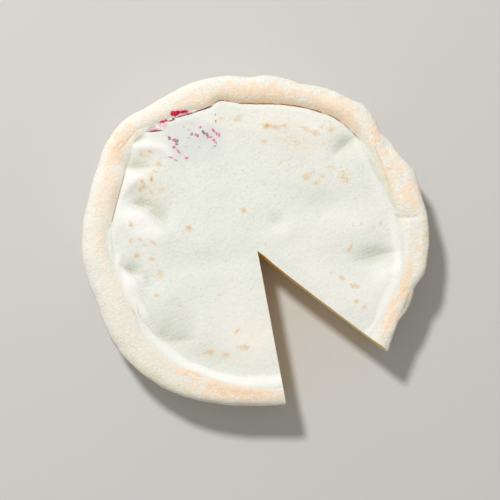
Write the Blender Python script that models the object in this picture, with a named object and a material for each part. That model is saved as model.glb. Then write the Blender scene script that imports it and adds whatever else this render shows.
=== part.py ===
# Washed-rind soft cheese: a low wheel with a rolled rim, a crease inside the rim, a dented
# top and one wedge cut out of it.
#
# Frame: metres, +Z up. The origin is the middle of the wheel on its flat base.
# The half section is spun round the knife point, the upright line where the two cuts meet,
# from one cut to the other. Each point is then set in its place in the uneven wheel.

import math
from bisect import bisect_right

import bmesh
import bpy
from mathutils import Matrix, Vector, noise

MM = 0.001
NODE_NAME = "cheese_wheel"
COLLECTION_NAME = "soft_cheese"

# Knife point and cuts, as directions in degrees anticlockwise from +X
KNIFE_POINT = Vector((1.74, -5.72)) * MM
RIGHT_CUT = -36.9
LEFT_CUT = 280.5

# Outline: a circle about a centre measured from the knife point, made uneven by lobes, each
# with its direction and spread in degrees and its reach in mm
WHEEL_CENTRE = Vector((-2.7, 5.6)) * MM
WHEEL_RADIUS = 73.4 * MM
OUTLINE_LOBES = (
    (-36, 4, 0.7),
    (-33, 2.5, -0.5),
    (-27, 4.2, -1.8),
    (-20, 8, -0.8),
    (-12.5, 3.2, -1.5),
    (-3, 8, 0.7),
    (13, 25, 2),
    (28.5, 4, 0.8),
    (33, 3, -0.6),
    (40, 9, -1.4),
    (40.5, 2.5, 0.7),
    (45, 2.5, -0.6),
    (54, 6, 2.3),
    (65, 5, 0.5),
    (76, 5, -1.1),
    (84, 18, -1.8),
    (93, 4, -0.9),
    (97, 8, -0.6),
    (121, 9, -0.5),
    (129, 4, -0.6),
    (140, 11, 3.2),
    (142.5, 3, -0.4),
    (162, 5, -0.7),
    (181, 7, 0.2),
    (198, 9, -1.2),
    (210, 5, 0.4),
    (222, 15, 1.2),
    (222.5, 3, -0.5),
    (240, 9, 0.4),
    (267, 23, -2.4),
)

# Heights of the half section
RIM_HEIGHT = 25.4 * MM
PLATE_HEIGHT = 23.6 * MM
SIDE_HEIGHT = 16.0 * MM      # where the wheel is widest
SHOULDER_DROP = 3.7 * MM     # from the top of the roll down to its side

# Breadths of the half section
UNDERCUT = 9.5 * MM          # base corner inside the widest side
SIDE_BULGE = 0.2 * MM
SHOULDER_BREADTH = 5.8 * MM  # the roll's top is flat from its crest out to here
LEAST_FLAT = 0.3 * MM        # breadth that stays flat however narrow the roll is
SHOULDER_POWER = 2.0         # 2 is an ellipse, more is squarer
UNDERSIDE_POWER = 2.1
SHOULDER_LOBES = (           # share by which the shoulder is smaller or larger than that
    (257, 26, -0.28),
    (-19, 10, -0.42),
    (2, 9, -0.12),
    (195, 20, 0.35),
)

# The crease is a soft valley or a steep fold, or something between the two
VALLEY_EDGE = 4.6 * MM       # breadth over which the plate goes down into a valley
FOLD_EDGE = 2.8 * MM         # and into a fold
FOLD_POWER = 2.4             # steepness of a fold's plate side
WALL_POWER = 2.2             # and of its roll side

# The plate climbs to the roll between these distances inside the crease
MARGIN_FAR = 6.6 * MM
MARGIN_NEAR = 0.3 * MM

# Round the wheel: direction in degrees, reach of the crease in mm, share of the roll's
# breadth inside its crest, height of the crest in mm, depth of the crease in mm, how sharp it
# is from 0 to 1, how far the plate climbs to it in mm
REACH, CREST_PLACE, CREST_HEIGHT, DEPTH, SHARPNESS, CLIMB = range(1, 7)
STATIONS = (
    (0, 61.8, 0.25, 24.9, 0.15, 0.1, 1.0),
    (8, 61.8, 0.32, 25.1, 0.25, 0.3, 0.7),
    (15, 61.6, 0.38, 25.3, 0.45, 0.4, 0.5),
    (22, 60.3, 0.40, 25.4, 0.55, 0.4, 0.4),
    (30, 61.2, 0.40, 25.3, 0.60, 0.4, 0.4),
    (38, 62.9, 0.42, 25.2, 0.65, 0.4, 0.4),
    (45, 64.4, 0.42, 25.2, 0.80, 0.5, 0.4),
    (52, 65.5, 0.45, 25.3, 1.20, 0.6, 0.2),
    (60, 66.5, 0.50, 25.3, 1.60, 0.8, 0.1),
    (67, 65.9, 0.50, 25.1, 1.10, 0.8, 0.0),
    (75, 65.1, 0.52, 24.9, 0.90, 0.8, 0.0),
    (83, 64.4, 0.58, 25.0, 1.20, 0.9, 0.0),
    (90, 64.1, 0.60, 25.1, 1.35, 0.9, 0.0),
    (97, 64.8, 0.58, 24.9, 1.20, 0.9, 0.0),
    (102, 66.8, 0.54, 24.7, 0.90, 0.9, 0.0),
    (105, 67.6, 0.50, 24.6, 0.80, 0.9, 0.0),
    (109, 66.1, 0.46, 24.5, 0.80, 0.9, 0.0),
    (117, 67.1, 0.42, 24.3, 0.65, 0.8, 0.0),
    (122, 68.4, 0.42, 24.2, 0.65, 0.7, 0.0),
    (131, 70.2, 0.42, 24.2, 0.55, 0.6, 0.0),
    (137, 70.8, 0.42, 24.1, 0.40, 0.4, 0.1),
    (141, 70.6, 0.42, 24.1, 0.45, 0.4, 0.2),
    (145, 69.1, 0.45, 24.2, 0.60, 0.4, 0.2),
    (149, 66.9, 0.45, 24.3, 0.70, 0.6, 0.3),
    (153, 65.8, 0.45, 24.4, 0.75, 0.7, 0.3),
    (160, 64.6, 0.45, 24.6, 0.95, 0.8, 0.3),
    (168, 64.2, 0.42, 24.4, 0.50, 0.6, 0.2),
    (178, 64.2, 0.35, 24.5, 0.20, 0.2, 0.3),
    (184, 62.5, 0.30, 24.6, 0.25, 0.2, 0.5),
    (192, 60.1, 0.30, 24.8, 0.35, 0.2, 0.9),
    (200, 59.9, 0.28, 25.0, 0.25, 0.2, 1.0),
    (208, 59.1, 0.22, 25.2, 0.30, 0.4, 1.1),
    (216, 60.3, 0.20, 25.3, 0.10, 0.2, 1.3),
    (226, 60.8, 0.16, 25.5, 0.05, 0.0, 1.5),
    (236, 59.9, 0.14, 25.5, 0.0, 0.0, 1.6),
    (243, 58.7, 0.14, 25.5, 0.0, 0.0, 1.6),
    (251, 58.3, 0.14, 25.5, 0.0, 0.0, 1.7),
    (262, 58.3, 0.14, 25.4, 0.0, 0.0, 1.6),
    (275, 58.6, 0.14, 25.3, 0.0, 0.0, 1.5),
    (323, 59.3, 0.16, 25.3, 0.0, 0.0, 1.1),
    (335, 59.6, 0.18, 25.2, 0.0, 0.0, 0.9),
    (341, 60.4, 0.18, 25.1, 0.0, 0.0, 0.8),
    (349, 61.7, 0.20, 25.0, 0.05, 0.0, 0.9),
    (354, 62.1, 0.20, 25.0, 0.10, 0.0, 1.2),
)

ROLL_DENTS = (               # direction and spread in degrees, place and spread as shares of
    (18, 4.0, 0.4, 0.4, 0.4),            # the roll's breadth, height in mm
    (-2, 6, 0.5, 0.4, -0.3),
    (40, 4, 0.9, 0.4, -1.4),
    (67, 3, 0.75, 0.4, -0.5),
    (-20, 4.5, 1.0, 0.3, -1.6),
    (190, 7, 0.7, 0.5, -0.5),
)

# Dents and swellings of the plate: x, y from the knife point, half length and half width in
# mm, turn in degrees, height in mm
TOP_RELIEF = (
    (35.2, 47.8, 4.5, 3.5, 50, -1.1),
    (39.8, 40.8, 4.5, 3.0, 10, 0.5),
    (24.2, 52.6, 14.0, 5.0, -22, 0.6),
    (1.1, 55.1, 12.0, 5.0, 0, 0.4),
    (7.7, 13.3, 4.2, 3.2, 20, -0.9),
    (10.2, 8.1, 7.0, 3.5, 12, 0.6),
    (46.5, -0.5, 9.5, 4.4, 3, -1.6),
    (56.3, -5.8, 7.0, 4.6, 10, 1.3),
    (42.0, -18.0, 13.0, 10.0, -40, 0.8),
    (43.1, 8.6, 8.0, 5.0, 0, 0.6),
    (27.1, 21.1, 14.0, 6.0, 5, -0.8),
    (-52.9, 31.0, 6.0, 4.2, 0, 1.3),
    (-52.5, 14.0, 7.0, 5.0, -10, 1.3),
    (-45.9, 7.6, 8.0, 4.5, 0, 0.9),
    (-54.4, -15.5, 3.2, 6.0, 10, 1.1),
    (-26.0, -44.0, 14.0, 5.0, -30, -0.9),
    (-32.9, -22.9, 10.0, 9.0, 0, 0.6),
    (-5.9, -31.4, 10.0, 12.0, 0, -0.7),
    (-22.9, -3.9, 14.0, 5.0, 5, -0.7),
    (-48.0, 45.6, 9.0, 2.4, -3, 0.9),
    (-38.0, 42.4, 4.5, 2.4, -42, 0.8),
    (-23.4, 53.1, 6.5, 4.0, 30, 0.6),
)

# Furrows with one bank steeper than the other: x, y from the knife point, half length,
# breadths of the left and the right bank, turn, depth
PLATE_FURROWS = (
    (-54.0, 21.2, 6.0, 4.5, 2.0, -8, 2.2),
    (-45.0, 16.2, 6.8, 5.5, 2.0, -48, 2.4),
    (-54.8, -8.2, 3.6, 3.6, 1.8, -22, 2.3),
    (-51.0, -13.8, 5.0, 3.8, 1.8, -72, 1.8),
    (-46.6, -32.2, 4.6, 5.0, 2.0, -46, 1.7),
    (-41.6, -36.0, 4.0, 6.0, 2.0, -24, 1.4),
    (-35.2, -37.2, 5.0, 7.0, 2.0, 2, 1.4),
    (52.4, -1.6, 7.0, 4.8, 2.0, 17, 1.9),
    (38.5, 43.9, 6.5, 4.5, 2.0, 14, 1.5),
    (-51.6, 36.6, 5.5, 3.4, 2.0, 0, 1.7),
)
ROLL_FURROWS = (
    (63.3, 14.9, 3.6, 1.8, 1.6, -4, 0.8),
    (62.8, -21.4, 5.0, 1.6, 3.0, 65, 0.5),
)

# Small unevenness all over
RIM_LUMP = 0.50 * MM
RIM_LUMP_SPACING = 9.0 * MM
TOP_LUMP = 0.30 * MM
TOP_LUMP_SPACING = 13.0 * MM

# Fineness of the mesh
TURN_STEPS = 150
PLATE_RINGS = 14
EDGE_RINGS = 5
WALL_RINGS = 4
SHOULDER_RINGS = 5
UNDERSIDE_RINGS = 5
WELD = 0.001 * MM

# Finishes
RIND_COLOUR = (0.80, 0.74, 0.62, 1.0)
RIND_ROUGHNESS = 0.8
PASTE_COLOUR = (0.78, 0.60, 0.32, 1.0)
PASTE_ROUGHNESS = 0.45


def clear_scene():
    for thing in list(bpy.data.objects):
        bpy.data.objects.remove(thing)


def material(name, colour, roughness):
    finish = bpy.data.materials.new(name)
    finish.use_nodes = True
    shader = finish.node_tree.nodes["Principled BSDF"]
    shader.inputs["Base Color"].default_value = colour
    shader.inputs["Roughness"].default_value = roughness
    shader.inputs["Metallic"].default_value = 0.0
    return finish


def heading(direction):
    turn = math.radians(direction)
    return Vector((math.cos(turn), math.sin(turn)))


def lobes(direction, table):
    """Sum of the lobes of a table in one direction, in the table's own unit."""
    total = 0.0
    for centre, spread, size in table:
        turned = (direction - centre + 180) % 360 - 180
        total += size * math.exp(-((turned / spread) ** 2))
    return total


def rim_reach(direction):
    """Distance from the knife point to the widest side, in one direction."""
    along = heading(direction).dot(WHEEL_CENTRE)
    even = along + math.sqrt(along**2 - WHEEL_CENTRE.length_squared + WHEEL_RADIUS**2)
    return even + lobes(direction, OUTLINE_LOBES) * MM


def along_rim(direction, column):
    """Value of one column of the stations, on a smooth closed curve through all of them."""
    direction %= 360
    start = bisect_right(STATIONS, direction, key=lambda station: station[0]) - 1
    around = [STATIONS[(start + step) % len(STATIONS)] for step in (-1, 0, 1, 2)]
    widths = [(after[0] - before[0]) % 360 for before, after in zip(around, around[1:])]
    values = [station[column] for station in around]
    slope_start = (values[2] - values[0]) / (widths[0] + widths[1])
    slope_end = (values[3] - values[1]) / (widths[1] + widths[2])
    share = (direction - around[1][0]) / widths[1]
    eased = share**2 * (3 - 2 * share)
    bowed = share * (1 - share) * ((1 - share) * slope_start - share * slope_end) * widths[1]
    return values[1] + (values[2] - values[1]) * eased + bowed


def crease_reach(direction):
    return along_rim(direction, REACH) * MM


def lump(place, spacing, size):
    return noise.noise(place / spacing) * size


def seen_from(place, centre_x, centre_y, turn):
    """A place in mm along and beside a line through a centre, the left side counted as more."""
    away = place / MM - Vector((centre_x, centre_y))
    line = heading(turn)
    return away.dot(line), line.cross(away)


def relief(place):
    total = 0.0
    for centre_x, centre_y, half_length, half_width, turn, height in TOP_RELIEF:
        along, beside = seen_from(place, centre_x, centre_y, turn)
        total += height * math.exp(-((along / half_length) ** 2) - (beside / half_width) ** 2)
    return total * MM


def furrow_depth(place, table):
    total = 0.0
    for centre_x, centre_y, half_length, left, right, turn, depth in table:
        along, beside = seen_from(place, centre_x, centre_y, turn)
        bank = beside / left if beside > 0 else -beside / right
        total += depth * math.exp(-((along / half_length) ** 2) - bank)
    return total * MM


def plate_height(direction, reach):
    """Height of the top inside the crease, before its edge turns down."""
    place = heading(direction) * reach
    inside = crease_reach(direction) - reach
    share = min(1.0, max(0.0, (MARGIN_FAR - inside) / (MARGIN_FAR - MARGIN_NEAR)))
    climb = along_rim(direction, CLIMB) * MM * share**2 * (3 - 2 * share)
    uneven = lump(place.to_3d(), TOP_LUMP_SPACING, TOP_LUMP)
    return PLATE_HEIGHT + relief(place) - furrow_depth(place, PLATE_FURROWS) + climb + uneven


def quarter(rings, power):
    """Places on a quarter of a superellipse, as shares of its two half axes."""
    for ring in range(1, rings + 1):
        turn = math.pi / 2 * ring / rings
        yield abs(math.sin(turn)) ** (2 / power), abs(math.cos(turn)) ** (2 / power)


def soft_rise(share):
    return share**2 * (3 - 2 * share)


def edge_rise(share, sharpness):
    """Rise of the plate's edge out of the crease, from 0 to 1."""
    steep = (1 - (1 - share) ** FOLD_POWER) ** (1 / FOLD_POWER)
    return soft_rise(share) + (steep - soft_rise(share)) * sharpness


def wall_rise(share, sharpness):
    """Rise of the roll's inner wall out of the crease, from 0 to 1."""
    steep = 1 - (1 - share) ** WALL_POWER
    return soft_rise(share) + (steep - soft_rise(share)) * sharpness


def half_section(direction):
    """Reach and height of each point of the wheel's section in one direction.

    It runs out along the base, up the side, over the roll, down into the crease and back
    along the top to the knife point.
    """
    rim = rim_reach(direction)
    crease = crease_reach(direction)
    depth = along_rim(direction, DEPTH) * MM
    sharpness = along_rim(direction, SHARPNESS)
    crest_height = along_rim(direction, CREST_HEIGHT) * MM
    crest = crease + (rim - crease) * along_rim(direction, CREST_PLACE)
    edge = VALLEY_EDGE + (FOLD_EDGE - VALLEY_EDGE) * sharpness
    corner = rim - UNDERCUT
    side = rim - SIDE_BULGE
    size = 1 + lobes(direction, SHOULDER_LOBES)
    side_top = crest_height - SHOULDER_DROP * size
    shoulder = rim - min(rim - crest - LEAST_FLAT, SHOULDER_BREADTH * size)

    section = [(0.0, 0.0), (corner, 0.0)]
    for out, down in quarter(UNDERSIDE_RINGS, UNDERSIDE_POWER):
        section.append((corner + UNDERCUT * out, SIDE_HEIGHT * (1 - down)))
    section.append((side, side_top))
    for up, out in quarter(SHOULDER_RINGS, SHOULDER_POWER):
        height = side_top + (crest_height - side_top) * up
        section.append((shoulder + (side - shoulder) * out, height))
    section.append((crest, crest_height))

    bottom = plate_height(direction, crease) - depth
    for ring in range(WALL_RINGS - 1, -1, -1):
        share = ring / WALL_RINGS
        height = bottom + (crest_height - bottom) * wall_rise(share, sharpness)
        section.append((crease + (crest - crease) * share, height))
    for ring in range(1, EDGE_RINGS + 1):
        share = ring / EDGE_RINGS
        reach = crease - edge * share
        top = plate_height(direction, reach)
        section.append((reach, top - depth * (1 - edge_rise(share, sharpness))))
    for ring in range(PLATE_RINGS - 1, -1, -1):
        reach = (crease - edge) * (ring / PLATE_RINGS)
        section.append((reach, plate_height(direction, reach)))
    return section


def roll_dent(direction, share):
    """Height of the roll's dents in one direction, at a share of the roll's breadth."""
    total = 0.0
    for centre, spread, place, breadth, height in ROLL_DENTS:
        size = height * MM * math.exp(-(((share - place) / breadth) ** 2))
        total += lobes(direction, ((centre, spread, size),))
    return total


def lumpy(point, direction, reach):
    """Moves a point of the roll or the side out or in a little; the base stays flat."""
    inner = crease_reach(direction)
    share = max(0.0, (reach - inner) / (rim_reach(direction) - inner))
    if share == 0:
        return point
    rise = min(1.0, point.z / SIDE_HEIGHT)
    swelling = lump(point, RIM_LUMP_SPACING, RIM_LUMP) * min(1.0, share / 0.4)
    outward = heading(direction).to_3d() + Vector((0.0, 0.0, 0.5))
    above_side = max(0.0, point.z - SIDE_HEIGHT) / (RIM_HEIGHT - SIDE_HEIGHT)
    dent = roll_dent(direction, share) - furrow_depth(heading(direction) * reach, ROLL_FURROWS)
    return point + (outward * swelling + Vector((0.0, 0.0, dent * above_side))) * rise


def spun_section(bm, station):
    """Spins the half section from the right cut round to the left one, as a closed solid."""
    corners = []
    for index, (reach, height) in enumerate(half_section(RIGHT_CUT)):
        corner = bm.verts.new((reach, 0.0, height))
        corner[station] = index
        corners.append(corner)
    face = bm.faces.new(corners)
    bmesh.ops.rotate(bm, verts=corners, matrix=Matrix.Rotation(math.radians(RIGHT_CUT), 3, "Z"))
    bmesh.ops.spin(
        bm,
        geom=[face, *face.edges, *corners],
        cent=(0.0, 0.0, 0.0),
        axis=(0.0, 0.0, 1.0),
        angle=math.radians(LEFT_CUT - RIGHT_CUT),
        steps=TURN_STEPS,
    )
    bmesh.ops.remove_doubles(bm, verts=bm.verts, dist=WELD)


def set_uneven(bm, station):
    """Sets each point of the spun section in its place in the uneven wheel."""
    step = (LEFT_CUT - RIGHT_CUT) / TURN_STEPS
    sections = [half_section(RIGHT_CUT + step * turn) for turn in range(TURN_STEPS + 1)]
    for vert in bm.verts:
        turned = math.degrees(math.atan2(vert.co.y, vert.co.x)) - RIGHT_CUT
        turn = round((turned + step) % 360 / step) - 1
        if vert.co.xy.length < WELD:
            turn = 0
        direction = RIGHT_CUT + step * turn
        reach, height = sections[turn][vert[station]]
        spoke = (heading(direction) * reach).to_3d()
        point = KNIFE_POINT.to_3d() + spoke + Vector((0.0, 0.0, height))
        vert.co = lumpy(point, direction, reach)


def paint_cuts(bm):
    """Gives the two upright cut faces the second material slot, the paste."""
    for face in bm.faces:
        if len(face.verts) > 4:
            face.material_index = 1


def cheese_wheel(collection):
    bm = bmesh.new()
    station = bm.verts.layers.int.new("station")
    spun_section(bm, station)
    set_uneven(bm, station)
    paint_cuts(bm)
    bmesh.ops.recalc_face_normals(bm, faces=bm.faces)
    mesh = bpy.data.meshes.new(NODE_NAME)
    bm.to_mesh(mesh)
    bm.free()
    mesh.materials.append(material("rind", RIND_COLOUR, RIND_ROUGHNESS))
    mesh.materials.append(material("paste", PASTE_COLOUR, PASTE_ROUGHNESS))
    mesh.shade_smooth()
    mesh.set_sharp_from_angle(angle=math.radians(50))
    collection.objects.link(bpy.data.objects.new(NODE_NAME, mesh))


def main():
    clear_scene()
    collection = bpy.data.collections.new(COLLECTION_NAME)
    bpy.context.scene.collection.children.link(collection)
    cheese_wheel(collection)


main()
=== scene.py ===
# A ripe washed-rind soft cheese with one wedge cut out of it, modelled finely over its plain CAD wheel
import math

import bpy
import numpy as np
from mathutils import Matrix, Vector, noise


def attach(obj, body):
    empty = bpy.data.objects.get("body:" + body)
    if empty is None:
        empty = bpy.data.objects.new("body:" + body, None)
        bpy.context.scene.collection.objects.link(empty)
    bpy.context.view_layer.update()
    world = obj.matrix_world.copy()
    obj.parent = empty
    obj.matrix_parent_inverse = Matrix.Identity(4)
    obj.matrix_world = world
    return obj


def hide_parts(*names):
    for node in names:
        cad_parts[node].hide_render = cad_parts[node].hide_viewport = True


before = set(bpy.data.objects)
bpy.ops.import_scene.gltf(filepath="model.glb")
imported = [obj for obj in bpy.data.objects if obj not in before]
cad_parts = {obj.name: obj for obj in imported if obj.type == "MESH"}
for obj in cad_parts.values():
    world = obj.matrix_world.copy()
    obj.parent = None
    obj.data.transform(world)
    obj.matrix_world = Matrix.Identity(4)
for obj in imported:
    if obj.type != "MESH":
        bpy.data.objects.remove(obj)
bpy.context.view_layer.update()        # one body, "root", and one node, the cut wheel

mm = 0.001


# The wheel's form: sizes in mm, places from the knife point, and directions round it in degrees from +X

wheel = {
    "knifePoint": (1.74, -5.72),
    "cuts": (-36.9, 280.5),
    "outlineCircle": (-2.7, 5.6, 73.4),  # centre and radius
    "outlineLobes": [                   # direction, spread, reach
        (-37.5, 1.5, 1), (-36, 4, 0.7), (-33, 2.5, -0.5), (-28, 3, 0.4), (-27, 4.2, -1.8), (-20, 8, -0.8),
        (-12.5, 3.2, -1.5), (-3, 8, 0.7), (13, 25, 2), (28.5, 4, 0.8), (33, 3, -0.6), (40, 9, -1.4),
        (40.5, 2.5, 0.7), (45, 2.5, -0.6), (54, 6, 2.3), (65, 5, 0.5), (76, 5, -1.1), (84, 18, -1.8),
        (93, 4, -0.9), (97, 8, -0.6), (121, 9, -0.5), (129, 4, -0.6), (140, 11, 3.2), (142.5, 3, -0.4),
        (162, 5, -0.7), (181, 7, 0.2), (198, 9, -1.2), (210, 5, 0.4), (222, 15, 1.2), (222.5, 3, -0.5),
        (240, 9, 0.4), (267, 23, -2.4)],
    # Round the wheel: direction, reach of the crease, share of the roll inside its crest, height of the
    # crest, depth of the crease, how sharp it is, and how far the plate climbs to it
    "stations": [
        (0, 61.8, 0.25, 24.9, 0.15, 0.1, 1), (8, 61.8, 0.32, 25.1, 0.25, 0.3, 0.7),
        (15, 61.6, 0.38, 25.3, 0.45, 0.4, 0.5), (22, 60.3, 0.4, 25.4, 0.55, 0.4, 0.4),
        (30, 61.2, 0.4, 25.3, 0.6, 0.4, 0.4), (38, 62.9, 0.42, 25.2, 0.65, 0.4, 0.4),
        (45, 64.4, 0.42, 25.2, 0.8, 0.5, 0.4), (52, 65.5, 0.45, 25.2, 1.05, 0.6, 0.2),
        (60, 66.5, 0.5, 25.1, 1.35, 0.8, 0.1), (67, 65.9, 0.5, 25, 1.1, 0.8, 0),
        (75, 65.1, 0.52, 24.9, 0.9, 0.8, 0), (83, 64.4, 0.58, 25, 1.2, 0.9, 0),
        (90, 64.1, 0.6, 25.1, 1.35, 0.9, 0), (97, 64.8, 0.58, 24.9, 1.2, 0.9, 0),
        (102, 66.8, 0.54, 24.7, 0.9, 0.9, 0), (105, 67.6, 0.5, 24.6, 0.8, 0.9, 0),
        (109, 66.1, 0.46, 24.5, 0.8, 0.9, 0), (117, 67.1, 0.42, 24.3, 0.65, 0.8, 0),
        (122, 68.4, 0.42, 24.2, 0.65, 0.7, 0), (126, 68.9, 0.42, 24.2, 0.65, 0.7, 0),
        (131, 70.2, 0.42, 24.2, 0.55, 0.6, 0), (137, 70.8, 0.42, 24.1, 0.4, 0.4, 0.1),
        (141, 70.6, 0.42, 24.1, 0.45, 0.4, 0.2), (145, 69.1, 0.45, 24.2, 0.6, 0.4, 0.2),
        (149, 66.9, 0.45, 24.3, 0.7, 0.6, 0.3), (153, 65.8, 0.45, 24.4, 0.75, 0.7, 0.3),
        (160, 64.6, 0.45, 24.6, 0.95, 0.8, 0.3), (168, 64.2, 0.42, 24.4, 0.5, 0.6, 0.2),
        (172, 64.8, 0.38, 24.4, 0.38, 0.4, 0.2), (178, 64.2, 0.35, 24.5, 0.42, 0.4, 0.2),
        (184, 62.5, 0.3, 24.6, 0.42, 0.4, 0.4), (192, 60.1, 0.3, 24.8, 0.42, 0.3, 0.9),
        (200, 59.9, 0.28, 25, 0.25, 0.2, 1), (208, 59.1, 0.22, 25.2, 0.3, 0.4, 1.1),
        (216, 60.3, 0.2, 25.3, 0.1, 0.2, 1.3), (226, 60.8, 0.16, 25.5, 0.05, 0, 1.5),
        (236, 59.9, 0.14, 25.5, 0, 0, 1.6), (243, 58.7, 0.14, 25.5, 0, 0, 1.6),
        (251, 58.3, 0.14, 25.5, 0, 0, 1.7), (262, 58.3, 0.14, 25.4, 0, 0, 1.6),
        (275, 58.6, 0.14, 25.3, 0, 0, 1.5), (323, 59.3, 0.42, 24.8, 0, 0, 0.6),
        (335, 59.6, 0.45, 24.8, 0, 0, 0.5), (341, 60.4, 0.42, 24.8, 0, 0, 0.6),
        (349, 61.7, 0.34, 24.9, 0.05, 0, 0.8), (354, 62.1, 0.2, 25, 0.1, 0, 1.2)],
    "rimHeight": 25.4,
    "plateHeight": 23.6,
    "sideHeight": 16.0,                 # where the wheel is widest
    "sideBulge": 0.2,
    "shoulderBreadth": 5.8,             # the roll is flat from its crest out to this far inside the rim
    "shoulderDrop": 3.3,
    "shoulderLobes": [
        (257, 26, -0.36), (-26, 13, -0.62), (8, 18, -0.42), (195, 20, 0.35), (48, 14, -0.22),
        (88, 22, -0.1)],
    "shoulderPower": 2.0,
    "leastShoulder": 0.3,               # the shoulder ends at least this far outside the crest
    "undercut": 9.5,
    "undersidePower": 2.1,
    "valleyEdge": 3.6,
    "foldEdge": 2.8,
    "foldPower": 2.4,
    "wallPower": 2.2,
    "marginReach": (6.6, 0.3),          # the plate climbs to the roll between these, inside the crease
    "marginLobes": [(329, 12, -3.2), (257, 18, -1.8)],
    "marginWander": (12.0, 3.0),
    "gapLobes": [(118, 5, 1.1), (128, 5, 1.0)],  # width of the opened crease
    "closedGap": 0.06,
    "rollDents": [                      # direction, spread, share of the roll, spread of it, height
        (18, 4, 0.4, 0.4, 0.4), (-2, 6, 0.5, 0.4, -0.3), (40, 4, 0.9, 0.4, -0.9), (67, 3, 0.75, 0.4, -0.5),
        (-20, 4.5, 1, 0.3, -1.6), (190, 7, 0.7, 0.5, -0.5), (143, 7, 0.3, 0.35, -0.5)],
    "topRelief": [                      # x, y, half length, half width, turn, height
        (36.2, 47.1, 4.5, 3, 37, -0.7), (41.5, 39.5, 6, 4, 30, 0.25), (24.2, 52.6, 14, 5, -22, 0.6),
        (1.1, 55.1, 12, 5, 0, 0.4), (7.7, 13.3, 4.2, 3.2, 20, -0.9), (10.2, 8.1, 7, 3.5, 12, 0.6),
        (46.5, -1.8, 8.5, 4.8, 2, -1.5), (55.5, -11, 6.5, 6, 15, 1.2), (42, -17, 13, 9, -40, 0.6),
        (43.1, 10.6, 8, 4, 0, 0.3), (27.1, 21.1, 14, 6, 5, -0.8), (-52.9, 31, 6, 4.2, 0, 1.3),
        (-52.5, 14, 7, 5, -10, 1.3), (-45.9, 7.6, 8, 4.5, 0, 0.9), (-54, -14.2, 4, 5.4, 12, 0.85),
        (-60, -4.2, 1.4, 3.6, -15, 0.3), (-20, -45.5, 13, 5, -20, -0.8), (-36, -18.5, 8, 6, 0, 0.5),
        (-29, -30, 4.5, 6, 0, -0.6), (-5.9, -31.4, 10, 12, 0, -0.25), (-22.9, -3.9, 14, 5, 5, -0.7),
        (-48, 45.6, 9, 2.3, -3, 0.9), (-38, 42.4, 4.5, 2.2, -42, 0.8), (-51, 48.4, 4.5, 1.4, 5, -0.6),
        (-23.4, 53.1, 6.5, 4, 30, 0.6)],
    "furrows": [                        # x, y, half length, widths on the left and right, turn, depth
        (-50.3, 20.2, 3.8, 3.4, 1.1, -10, 2.7), (-43.8, 16.2, 6, 4.4, 1.2, -42, 2.7),
        (-54.2, -8.4, 3.8, 3.8, 1.1, -26, 3), (-47.6, -12.5, 4.5, 3.6, 1.8, -70, 1.2),
        (-46.6, -32.2, 4.6, 5, 1.1, -46, 1.3), (-41, -36.2, 4, 6, 1.4, -24, 1.6),
        (-33.8, -37.8, 6, 7.5, 2, 4, 1.75), (52.6, -1, 6, 4.4, 1.6, 15, 1.5),
        (37.4, 46.4, 7, 3.2, 2.8, 40, 1.8), (-51.6, 36.6, 5.5, 3.2, 1.1, 0, 2.5),
        (57.4, -11.6, 3.4, 1.6, 1.1, -16, 0.35)],
    "rollFurrows": [
        (63.3, 14.9, 3.6, 1.7, 0.5, -4, 1.3), (55.3, 44.5, 2.8, 0.8, 0.8, -65, 0.6),
        (62.8, -21.4, 5, 0.5, 3, 65, 0.5), (-55.9, 48.4, 4.4, 0.9, 0.6, 48, 0.6),
        (-50.5, 53.1, 2.4, 0.8, 0.6, 20, 0.5), (56.4, 34.9, 2.4, 0.9, 0.7, 14, 0.5)],
    "rimLump": (9.0, 0.50),             # spacing, size
    "topLump": (13.0, 0.30),
    "fineRimLump": (2.6, 0.16),
    "fineTopLump": (4.2, 0.07),
    "grit": (1.3, 0.05),
    "lumpStart": 0.4,                   # share of the roll at which its lumps have their full size
    "lumpLift": 0.5,                    # how much they rise for each mm that they swell outwards
    "pole": (8.0, -12.0),               # where the rings of the plate meet, inside the cut
    "turnSteps": 600,
    "turnParts": 24,                    # the first is spun step by step and then copied round
    "rings": {"base": 8, "underside": 14, "side": 6, "shoulder": 20, "roll": 4, "wall": 14, "gap": 3,
              "edge": 14, "plate": 60},
    "plateCrowding": 0.6,               # the plate's rings stand closer together towards its edge
    "mergeDistance": 0.002,
}


def lobes(direction, table):
    total = np.zeros_like(direction)
    for centre, spread, size in table:
        turned = (direction - centre + 180) % 360 - 180
        total += size * np.exp(-(turned / spread) ** 2)
    return total


def circleReach(direction, circle):
    turn = np.radians(direction)
    along = np.cos(turn) * circle[0] + np.sin(turn) * circle[1]
    return along + np.sqrt(along ** 2 - circle[0] ** 2 - circle[1] ** 2 + circle[2] ** 2)


def rimReach(direction):
    return circleReach(direction, wheel["outlineCircle"]) + lobes(direction, wheel["outlineLobes"])


def alongRim(direction, column):        # a smooth closed curve through one column of the stations
    table = np.array(wheel["stations"])
    angles, values = table[:, 0], table[:, column]
    widths = (np.roll(angles, -1) - angles) % 360
    slopes = (np.roll(values, -1) - np.roll(values, 1)) / (widths + np.roll(widths, 1))
    start = np.searchsorted(angles, direction % 360, side="right") - 1
    end = (start + 1) % len(angles)
    width = widths[start]
    share = ((direction - angles[start]) % 360) / width
    eased = share ** 2 * (3 - 2 * share)
    bowed = share * (1 - share) * width * ((1 - share) * slopes[start] - share * slopes[end])
    return values[start] + (values[end] - values[start]) * eased + bowed


def creaseReach(direction):
    return alongRim(direction, 1)


def gapWidth(direction):
    return wheel["closedGap"] + lobes(direction, wheel["gapLobes"])


def lumps(points, spacing, size):
    return np.array([noise.noise(Vector(point) / spacing) for point in points]) * size


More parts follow.
